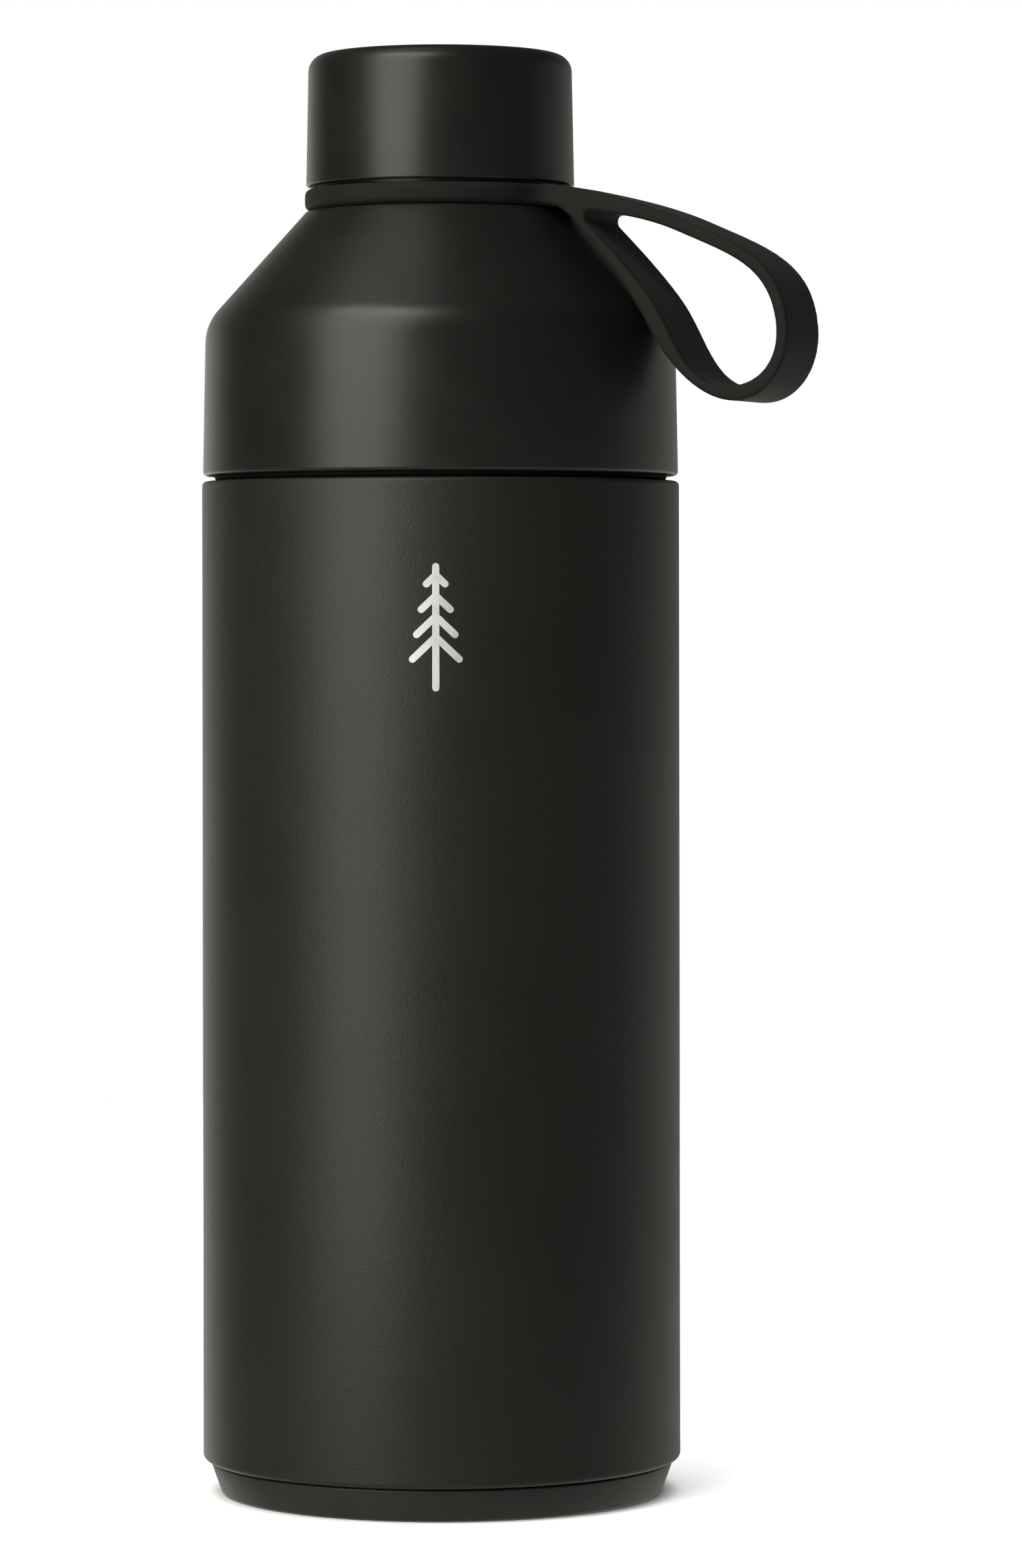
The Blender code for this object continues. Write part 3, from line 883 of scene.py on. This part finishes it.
def place_carry_loop(piece):
    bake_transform(piece)
    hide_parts("carry_ring", "carry_loop")


# Hidden CAD nodes that stay ----------------------------------------------------------------------


def finish_hidden():
    for node, material, slot in (
        ("outer_base", SHEET_STEEL, "brushed_steel"),
        ("getter_clip", SHEET_STEEL, "brushed_steel"),
        ("vacuum_seal", SINTERED, "getter_metal"),
        ("getter", SINTERED, "getter_metal"),
        ("shoulder_foam", FOAM, "foam"),
        ("cap_foam", FOAM, "foam"),
    ):
        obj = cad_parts[node]
        obj.material_slots[0].material = material


# Studio ------------------------------------------------------------------------------------------


STUDIO_TINT = (1.0, 0.995, 0.92)
WHITE = (1.0, 1.0, 1.0)

# Strengths of the world's light
LEFT_WHITE = 1.35
RIGHT_WHITE = 0.41
BOUNCE = 0.4
ROOM = 0.055

BOTTLE_MIDDLE = (0, 0, 0.13)
FLOOR_MIDDLE = (0, 0, 0)
FLOOR_R = 0.9

# Name, azimuth, elevation, distance, (width, height) and power
SOFTBOXES = (
    ("key_softbox", -38.5, 24, 1.3, (0.95, 1.9), 18.0),
    ("upper_softbox", -38.5, 55, 1.3, (0.95, 0.35), 2.4),
    ("top_softbox", -83, 75, 1.1, (0.5, 0.5), 0.6),
)
FLOOR_LIGHTS = (
    ("floor_top", 0, 90, 2.0, (2.6, 2.6), 90.0),
    ("floor_side", -44, 48, 1.5, (0.8, 0.8), 4.0),
)

CAMERA_PLACE = (0.01325, -1.122, 0.165)
CAMERA_ROLL = 0.081
LENS = 136.44
SHIFT_UP = -0.1078


def area_light(aim, tint, name, azimuth, elevation, distance, size, power):
    """A soft box aimed at a point, from an azimuth that is positive to the right of the front."""
    data = bpy.data.lights.new(name, "AREA")
    data.shape = "RECTANGLE"
    data.size, data.size_y = size
    data.energy = power
    data.color = tint
    light = bpy.data.objects.new(name, data)
    a, e = math.radians(azimuth), math.radians(elevation)
    way = Vector((math.sin(a) * math.cos(e), -math.cos(a) * math.cos(e), math.sin(e)))
    light.location = Vector(aim) + way * distance
    light.rotation_euler = way.to_track_quat("Z", "Y").to_euler()
    bpy.context.scene.collection.objects.link(light)
    return light


def studio_floor():
    bm = bmesh.new()
    bmesh.ops.create_circle(bm, cap_ends=True, segments=96, radius=FLOOR_R)
    n = Nodes("studio_floor")
    tone = n.mix(n.noise(180.0, detail=2.0), (0.86, 0.86, 0.86), (0.88, 0.88, 0.88))
    floor = mesh_object(bm, "studio_floor", n.finish(tone, 0.9, Specular_IOR_Level=0.0))
    floor.visible_diffuse = False
    floor.visible_glossy = False
    floor.visible_shadow = False
    return floor


def studio_world():
    """A pale studio, white behind and darker in front and overhead. The camera sees plain white."""
    world = bpy.data.worlds.new("studio")
    bpy.context.scene.world = world
    world.use_nodes = True
    tree = world.node_tree
    tree.nodes.clear()

    def node(kind, inputs, **settings):
        made = tree.nodes.new("ShaderNode" + kind)
        for key, value in settings.items():
            setattr(made, key, value)
        for key, value in inputs.items():
            if isinstance(value, bpy.types.NodeSocket):
                tree.links.new(value, made.inputs[key])
            else:
                made.inputs[key].default_value = value
        return made.outputs[0]

    def ramp(value, start, end, top):
        """A smooth rise from nothing at start to top at end, where start may be the larger."""
        ends = (start, end, 0.0, top) if start < end else (end, start, top, 0.0)
        inputs = dict(enumerate((value, *ends)))
        return node("MapRange", inputs, interpolation_type="SMOOTHSTEP")

    def maths(operation, a, b):
        return node("Math", {0: a, 1: b}, operation=operation)

    direction = tree.nodes.new("ShaderNodeTexCoord").outputs["Generated"]
    x, y, z = node("SeparateXYZ", {0: direction}).node.outputs
    left = maths("MULTIPLY", ramp(y, 0.5, 1.0, LEFT_WHITE), ramp(x, 0.3, -0.3, 1.0))
    right = maths("MULTIPLY", ramp(y, -0.35, 0.75, RIGHT_WHITE), ramp(x, -0.3, 0.3, 1.0))
    sides = maths("MULTIPLY", maths("ADD", left, right), ramp(z, 0.6, -0.25, 1.0))
    below = ramp(z, 0.0, -0.5, BOUNCE)
    grey = maths("ADD", maths("ADD", sides, below), ROOM)
    light = node("Background", {0: (*STUDIO_TINT, 1), 1: grey})
    backdrop = node("Background", {0: (1, 1, 1, 1)})
    seen = tree.nodes.new("ShaderNodeLightPath").outputs["Is Camera Ray"]
    shader = node("MixShader", {0: seen, 1: light, 2: backdrop})
    tree.links.new(shader, tree.nodes.new("ShaderNodeOutputWorld").inputs[0])


def studio(floor):
    """The world and its soft boxes, and two lights that light the floor alone."""
    studio_world()
    for softbox in SOFTBOXES:
        area_light(BOTTLE_MIDDLE, STUDIO_TINT, *softbox)
    lit = bpy.data.collections.new("lit_by_floor_lights")
    lit.objects.link(floor)
    for floor_light in FLOOR_LIGHTS:
        light = area_light(FLOOR_MIDDLE, WHITE, *floor_light)
        light.light_linking.receiver_collection = lit
    bpy.context.scene.view_settings.view_transform = "Standard"


def camera():
    """The viewpoint: level, about a metre away, a little above half the bottle's height."""
    data = bpy.data.cameras.new("camera")
    data.lens = LENS
    data.sensor_width = 36.0
    data.shift_y = SHIFT_UP
    data.clip_start, data.clip_end = 0.05, 50.0
    cam = bpy.data.objects.new("camera", data)
    cam.location = CAMERA_PLACE
    cam.rotation_euler = (math.radians(90), math.radians(CAMERA_ROLL), 0)
    bpy.context.scene.collection.objects.link(cam)
    bpy.context.scene.camera = cam


flask_shell()
flask_liner()
boot()
foot_pad()
mark()
joint_seal()
collar()
shoulder()
funnel()
spout()
cap_seal()
cap_cover()
cap_inside()
place_carry_loop(carry_loop())
finish_hidden()
studio(studio_floor())
camera()
